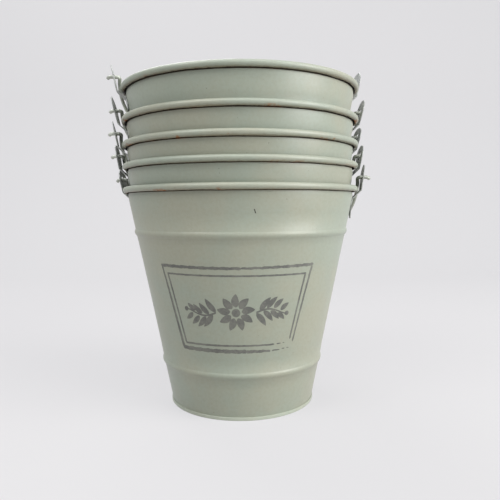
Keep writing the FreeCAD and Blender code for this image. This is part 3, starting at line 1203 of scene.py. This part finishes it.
@dataclass
class PrintedPanel:
    """Grey print on the front of a bucket: a double frame, rough as a stamp, round a flower sprig."""

    shell: TaperedShell
    angle: float = math.radians(2.5)
    middle_radius: float = 75.6
    film: float = 0.06
    sunk: float = 0.05

    def build(self, bucket: Bucket, tree: GeometryTree, ink: bpy.types.Material) -> bpy.types.Object:
        """Draw the artwork flat, then lay it on the wall of one bucket.

        Args:
            bucket: the bucket it belongs to.
            tree: the wrapping tree.
            ink: its ink.

        Returns:
            The print, in its place in the stack.
        """
        art = bmesh.new()
        self._frame(art)
        self._sprig(art)
        flat = bpy.data.meshes.new("print_flat")
        self._thicken(art)
        art.to_mesh(flat)
        art.free()
        flat.transform(Matrix.Scale(MM, 4))
        shell = self.shell
        panel = tree.make(f"printed_panel_{bucket.number}", flat, {
            "Foot radius": shell.foot_radius, "Taper": shell.taper,
            "Middle radius": self.middle_radius * MM, "Dent": shell.dent,
            "Dent low": shell.bands[0] + shell.band_half, "Dent high": shell.bands[1] - shell.band_half,
            "Seed": float(bucket.number), "Material": ink})
        panel.data.transform(Matrix.Rotation(self.angle, 4, "Z"))
        bucket.place(panel.data)
        return panel

    def _strip(self, art: bmesh.types.BMesh, rows: Sequence[tuple[tuple, tuple]]) -> None:
        """Add a strip of flat quads between pairs of points.

        Args:
            art: mesh that takes it.
            rows: pairs of points (across, height) in millimetres.
        """
        made = [[art.verts.new((x, 0.0, z)) for x, z in row] for row in rows]
        for (first, second), (third, fourth) in zip(made, made[1:]):
            art.faces.new((first, third, fourth, second))

    def _stroke(self, art: bmesh.types.BMesh, start: tuple, end: tuple, widths: tuple,
                rough: float, seed: float) -> None:
        """Add a straight line of ink whose edges are uneven.

        Args:
            art: mesh that takes it.
            start: first end (across, height) in millimetres.
            end: other end.
            widths: width at the start and at the end.
            rough: how far each edge wanders.
            seed: number that makes its edges its own.
        """
        length = math.dist(start, end)
        steps = max(2, round(length / 0.9))
        along = ((end[0] - start[0]) / length, (end[1] - start[1]) / length)
        normal = (-along[1], along[0])
        rows = []
        for step in range(steps + 1):
            share = step / steps
            reach = share * length
            width = widths[0] + (widths[1] - widths[0]) * share
            taper = min(1.0, 0.35 + reach / 1.2, 0.35 + (length - reach) / 1.2)
            upper = max(0.12, width / 2 * taper + rough * ripple(reach * 0.45, seed))
            lower = max(0.12, width / 2 * taper + rough * ripple(reach * 0.4 + 4.0, seed + 2.6))
            point = (start[0] + along[0] * reach, start[1] + along[1] * reach)
            rows.append(((point[0] + normal[0] * upper, point[1] + normal[1] * upper),
                         (point[0] - normal[0] * lower, point[1] - normal[1] * lower)))
        self._strip(art, rows)

    def _frame(self, art: bmesh.types.BMesh) -> None:
        """Draw the two uneven frames, narrower towards the foot as the wall is.

        Args:
            art: mesh that takes them.
        """
        stroke = self._stroke
        stroke(art, (-57.0, 117.2), (4.0, 116.6), (2.3, 2.0), 0.3, 1.0)
        stroke(art, (3.6, 116.7), (57.0, 117.5), (1.6, 2.3), 0.34, 2.0)
        stroke(art, (-52.0, 111.4), (51.6, 111.2), (1.3, 1.3), 0.12, 3.0)
        stroke(art, (-56.1, 116.6), (-46.8, 55.6), (1.5, 2.7), 0.16, 4.0)
        stroke(art, (-51.2, 111.2), (-43.4, 59.8), (1.4, 1.6), 0.1, 5.0)
        stroke(art, (55.9, 116.6), (46.6, 60.0), (1.8, 1.3), 0.16, 6.0)
        stroke(art, (50.7, 111.0), (43.6, 62.4), (1.5, 1.3), 0.1, 7.0)
        stroke(art, (-47.6, 55.6), (8.0, 55.2), (2.9, 2.9), 0.34, 8.0)
        stroke(art, (7.4, 55.2), (27.0, 55.0), (2.6, 1.7), 0.34, 9.0)
        stroke(art, (28.4, 55.0), (35.0, 55.2), (1.3, 0.8), 0.16, 10.0)
        stroke(art, (37.0, 55.6), (39.6, 55.7), (0.9, 0.8), 0.1, 11.0)
        stroke(art, (41.4, 55.8), (43.6, 55.8), (0.7, 0.6), 0.1, 12.0)
        stroke(art, (-43.9, 59.6), (30.0, 59.7), (1.5, 1.3), 0.14, 13.0)
        stroke(art, (32.0, 59.9), (35.6, 60.0), (1.0, 0.7), 0.1, 14.0)
        stroke(art, (37.4, 60.1), (39.0, 60.2), (0.7, 0.5), 0.08, 15.0)

    def _leaf(self, art: bmesh.types.BMesh, root: tuple, direction: float, length: float,
              width: float) -> None:
        """Add one pointed leaf or petal.

        Args:
            art: mesh that takes it.
            root: where it grows from (across, height) in millimetres.
            direction: angle in which it points.
            length: its length.
            width: its greatest width.
        """
        along = (math.cos(direction), math.sin(direction))
        normal = (-along[1], along[0])
        rows = []
        steps = 12
        for step in range(steps + 1):
            share = step / steps
            half = width / 2 * math.sin(math.pi * share ** 0.8) ** 0.75 if 0 < share < 1 else 0.05
            sway = 0.1 * width * math.sin(math.pi * share)
            point = (root[0] + along[0] * length * share + normal[0] * sway,
                     root[1] + along[1] * length * share + normal[1] * sway)
            rows.append(((point[0] + normal[0] * half, point[1] + normal[1] * half),
                         (point[0] - normal[0] * half, point[1] - normal[1] * half)))
        self._strip(art, rows)

    def _ring(self, art: bmesh.types.BMesh, centre: tuple, outer: float, inner: float) -> None:
        """Add a flat ring, or a disc when the inner radius is small.

        Args:
            art: mesh that takes it.
            centre: its centre (across, height) in millimetres.
            outer: its outer radius.
            inner: its inner radius.
        """
        sides = 28
        rows = []
        for side in range(sides):
            angle = math.tau * side / sides
            rows.append([art.verts.new((centre[0] + reach * math.cos(angle), 0.0,
                                        centre[1] + reach * math.sin(angle))) for reach in (outer, inner)])
        for first, second in zip(rows, rows[1:] + rows[:1]):
            art.faces.new((first[0], first[1], second[1], second[0]))

    def _sprig(self, art: bmesh.types.BMesh) -> None:
        """Draw a daisy with a leafy spray to each side.

        Args:
            art: mesh that takes it.
        """
        centre = (0.0, 84.5)
        self._ring(art, centre, 3.1, 0.05)
        for petal in range(9):
            angle = math.tau * (petal + 0.25) / 9
            root = (centre[0] + 4.1 * math.cos(angle), centre[1] + 4.1 * math.sin(angle))
            self._leaf(art, root, angle, 9.8, 5.4)
        for side in (-1, 1):
            stem = []
            for step in range(25):
                share = step / 24
                across = side * (14.6 + 22.0 * share)
                up = centre[1] + side * 2.4 * math.sin(math.pi * 1.25 * share)
                half = 0.75 - 0.3 * share
                stem.append(((across, up + half), (across, up - half)))
            self._strip(art, stem)
            for number, share in enumerate((0.05, 0.3, 0.55, 0.8)):
                root_up = centre[1] + side * 2.4 * math.sin(math.pi * 1.25 * share)
                for flip in (-1, 1):
                    place = share + 0.06 * flip * side
                    root = (side * (14.9 + 21.0 * place), root_up + flip * 0.9)
                    tilt = math.radians(52 - number * 4) * flip
                    direction = tilt if side > 0 else math.pi - tilt
                    self._leaf(art, root, direction, 12.2 - number * 1.4, 4.3 - number * 0.25)
            end = centre[1] + side * 2.4 * math.sin(math.pi * 1.25)
            self._ring(art, (side * 38.2, end), 1.7, 0.05)

    def _thicken(self, art: bmesh.types.BMesh) -> None:
        """Give the flat ink a little thickness, with its face outwards.

        Args:
            art: the flat artwork.
        """
        bmesh.ops.recalc_face_normals(art, faces=art.faces)
        for vertex in art.verts:
            vertex.co.y = self.film
        made = bmesh.ops.extrude_face_region(art, geom=list(art.faces), use_keep_orig=True)
        for vertex in (item for item in made["geom"] if isinstance(item, bmesh.types.BMVert)):
            vertex.co.y = -self.sunk
        bmesh.ops.recalc_face_normals(art, faces=art.faces)


# ---------------------------------------------------------------- studio


def seen_directly(graph: Graph) -> Wire:
    """Tell what is looked at from what only lights the stack.

    Args:
        graph: the graph that asks.

    Returns:
        1 for what the camera, a reflection or a transmission sees, otherwise 0.
    """
    path = graph.add("ShaderNodeLightPath", {}, {})
    camera, glossy, through = [Wire(graph, path.outputs[f"Is {kind} Ray"])
                               for kind in ("Camera", "Glossy", "Transmission")]
    return graph.math("MINIMUM", camera + glossy + through, 1.0)


@dataclass(frozen=True)
class Studio:
    """Pale floor that curves up behind, soft lamps and the camera."""

    paper: tuple = srgb(190, 187, 184)
    ambient: float = 0.34
    backdrop: tuple = srgb(240, 240, 244)
    evenness: float = 0.66
    sweep_start: float = 0.75
    sweep_radius: float = 0.5
    half_width: float = 3.0
    front: float = -2.5
    wall_top: float = 3.0
    eye: tuple = (0.0073, -0.4450, 0.1585)
    pitch: float = 85.44
    roll: float = -0.39
    lens: float = 38.46

    def build_floor(self) -> bpy.types.Object:
        """Make floor and backdrop in one curved sheet.

        Returns:
            The sheet.
        """
        points = [(self.front, 0.0), (-0.5, 0.0), (self.sweep_start, 0.0)]
        centre = (self.sweep_start, self.sweep_radius)
        points += arc_points(centre, self.sweep_radius, -90, 0, 24)[1:]
        points.append((self.sweep_start + self.sweep_radius, self.wall_top))
        mesh = bmesh.new()
        rows = [[mesh.verts.new((side * self.half_width, y, z)) for side in (-1, 1)] for y, z in points]
        for first, second in zip(rows, rows[1:]):
            mesh.faces.new((first[0], first[1], second[1], second[0]))
        material, graph = new_material("pale_paper")
        place = graph.node("ShaderNodeTexCoord", output="Object")
        grain = graph.noise(place, 60.0, 2.0)
        colour = graph.mix(grain * 0.06, self.paper, srgb(158, 155, 152))
        paper = graph.node("ShaderNodeBsdfPrincipled", {}, {
            "Base Color": colour, "Roughness": 0.85, "Specular IOR Level": 0.2})
        glow = graph.node("ShaderNodeEmission", {}, {"Color": self.backdrop, "Strength": 1.0})
        share = seen_directly(graph) * self.evenness
        surface = graph.node("ShaderNodeMixShader", {}, {0: share, 1: paper, 2: glow})
        graph.add("ShaderNodeOutputMaterial", {}, {"Surface": surface})
        return finished(mesh, "studio_floor", material)

    def build_lamps(self) -> None:
        """Large soft key from the front right, weak fill from the left, and an even sky."""
        self._lamp("key", (1.15, -0.6, 0.62), (0.0, 0.0, 0.15), (0.9, 0.9), 16.5)
        self._lamp("fill", (-0.48, -0.36, 0.85), (-0.02, 0.0, 0.3), (0.45, 0.45), 2.1)
        self._lamp("back", (-0.5, 0.9, 1.5), (0.0, 0.0, 0.2), (0.9, 0.9), 11.0)
        self._lamp("top", (0.1, -0.5, 1.25), (0.0, 0.0, 0.2), (2.4, 0.45), 11.0)
        world = bpy.data.worlds.new("studio_sky")
        bpy.context.scene.world = world
        world.use_nodes = True
        world.node_tree.nodes.clear()
        graph = Graph(world.node_tree)
        sky = graph.node("ShaderNodeBackground", {}, {
            "Color": srgb(244, 246, 250), "Strength": self.ambient})
        wall = graph.node("ShaderNodeBackground", {}, {"Color": self.backdrop, "Strength": 1.0})
        surface = graph.node("ShaderNodeMixShader", {}, {0: seen_directly(graph), 1: sky, 2: wall})
        graph.add("ShaderNodeOutputWorld", {}, {"Surface": surface})

    def _lamp(self, name: str, place: tuple, target: tuple, spread: tuple, power: float) -> None:
        """Add one area lamp that points at a target.

        Args:
            name: its name.
            place: where it hangs.
            target: where it points.
            spread: its two sides.
            power: its power in watts.
        """
        lamp = bpy.data.lights.new(name, "AREA")
        lamp.shape, lamp.energy = "RECTANGLE", power
        lamp.size, lamp.size_y = spread
        holder = bpy.data.objects.new(name, lamp)
        holder.location = place
        holder.rotation_euler = (Vector(target) - Vector(place)).to_track_quat("-Z", "Y").to_euler()
        bpy.context.scene.collection.objects.link(holder)

    def build_camera(self) -> None:
        """Camera a little above the middle of the stack, looking slightly down."""
        data = bpy.data.cameras.new("camera")
        data.lens, data.sensor_width = self.lens, 36.0
        data.clip_start, data.clip_end = 0.01, 20.0
        camera = bpy.data.objects.new("camera", data)
        pitch = Matrix.Rotation(math.radians(self.pitch), 4, "X")
        roll = Matrix.Rotation(math.radians(self.roll), 4, "Z")
        camera.matrix_world = Matrix.Translation(self.eye) @ pitch @ roll
        bpy.context.scene.collection.objects.link(camera)
        bpy.context.scene.camera = camera


@dataclass
class BucketStack:
    """The whole stack: five buckets and what each is made of."""

    lifts: tuple = (0.0, 18.2, 34.9, 54.1, 78.7)
    turns: tuple = (-4.7, 3.3, 9.6, 4.9, 9.9)
    rust: tuple = (0.6, 0.3, 1.0, 0.7, 0.2)

    def build(self) -> None:
        """Build, finish and place every piece."""
        shell = TaperedShell()
        floor = FloorPan(shell)
        seam = SideSeam(shell)
        panel = PrintedPanel(shell)
        ears = [EarLug(shell, Side.LEFT, (5.8, 5.6, 6.6, 7.8, 6.6), (17.5, 18.4, 19.0, 20.6, 19.0)),
                EarLug(shell, Side.RIGHT, (5.2, 6.0, 7.2, 7.6, 6.0), (19.6, 18.4, 17.6, 19.8, 19.4))]
        bail = BailWire()
        turning, wrapping, bending = turning_tree(), wrapping_tree(), wire_tree()
        ink = PrintInk().material()
        lug_metal = DullZinc("dull_zinc_sheet", srgb(188, 191, 188), srgb(150, 153, 150),
                             0.15, 0.45, 150.0, 0.3).material()
        wire_metal = DullZinc("dull_zinc_wire", srgb(196, 200, 190), srgb(170, 174, 164),
                              0.3, 0.42, 60.0, 0.18).material()
        for number in BUCKETS:
            bucket = Bucket(number, self.lifts[number - 1] * MM, math.radians(self.turns[number - 1]))
            scratch = Scratch(math.radians(7.0), 156.0 * MM) if number == 1 else None
            paint = SagePaint(bucket.lift, number, self.rust[number - 1], scratch).material()
            self._keep(shell.build(bucket, turning, paint), bucket.body, "painted_steel",
                       f"wall_{number}")
            self._keep(floor.build(bucket, turning, paint), bucket.body, "painted_steel",
                       f"base_{number}")
            self._keep(seam.build(bucket, paint), bucket.body, "painted_steel")
            self._keep(panel.build(bucket, wrapping, ink), bucket.body, "painted_steel")
            for ear in ears:
                self._keep(ear.build(bucket, lug_metal), bucket.body, "ear_steel",
                           f"{ear.side.name.lower()}_ear_{number}")
            self._keep(bail.build(bucket, bending, wire_metal), f"handle_{number}", "bail_wire",
                       f"bail_{number}")

    @staticmethod
    def _keep(piece: bpy.types.Object, body: str, slot: str, node: str | None = None) -> None:
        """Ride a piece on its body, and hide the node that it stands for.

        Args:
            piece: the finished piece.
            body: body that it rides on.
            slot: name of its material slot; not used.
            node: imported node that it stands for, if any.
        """
        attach(piece, body)
        if node:
            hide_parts(node)
        LOG.info("%s: %d faces", piece.name, len(piece.data.polygons))


def main() -> None:
    """Build the studio and the stack, logging the number of packed nodes and each piece's faces."""
    logging.basicConfig(level=logging.INFO, format="%(name)s %(message)s")
    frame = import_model()
    LOG.info("%d packed nodes", len(frame["nodes"]))
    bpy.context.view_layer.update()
    studio = Studio()
    studio.build_camera()
    studio.build_floor()
    studio.build_lamps()
    BucketStack().build()
    view = bpy.context.scene.view_settings
    view.view_transform = "Standard"


if __name__ == "__main__":
    main()
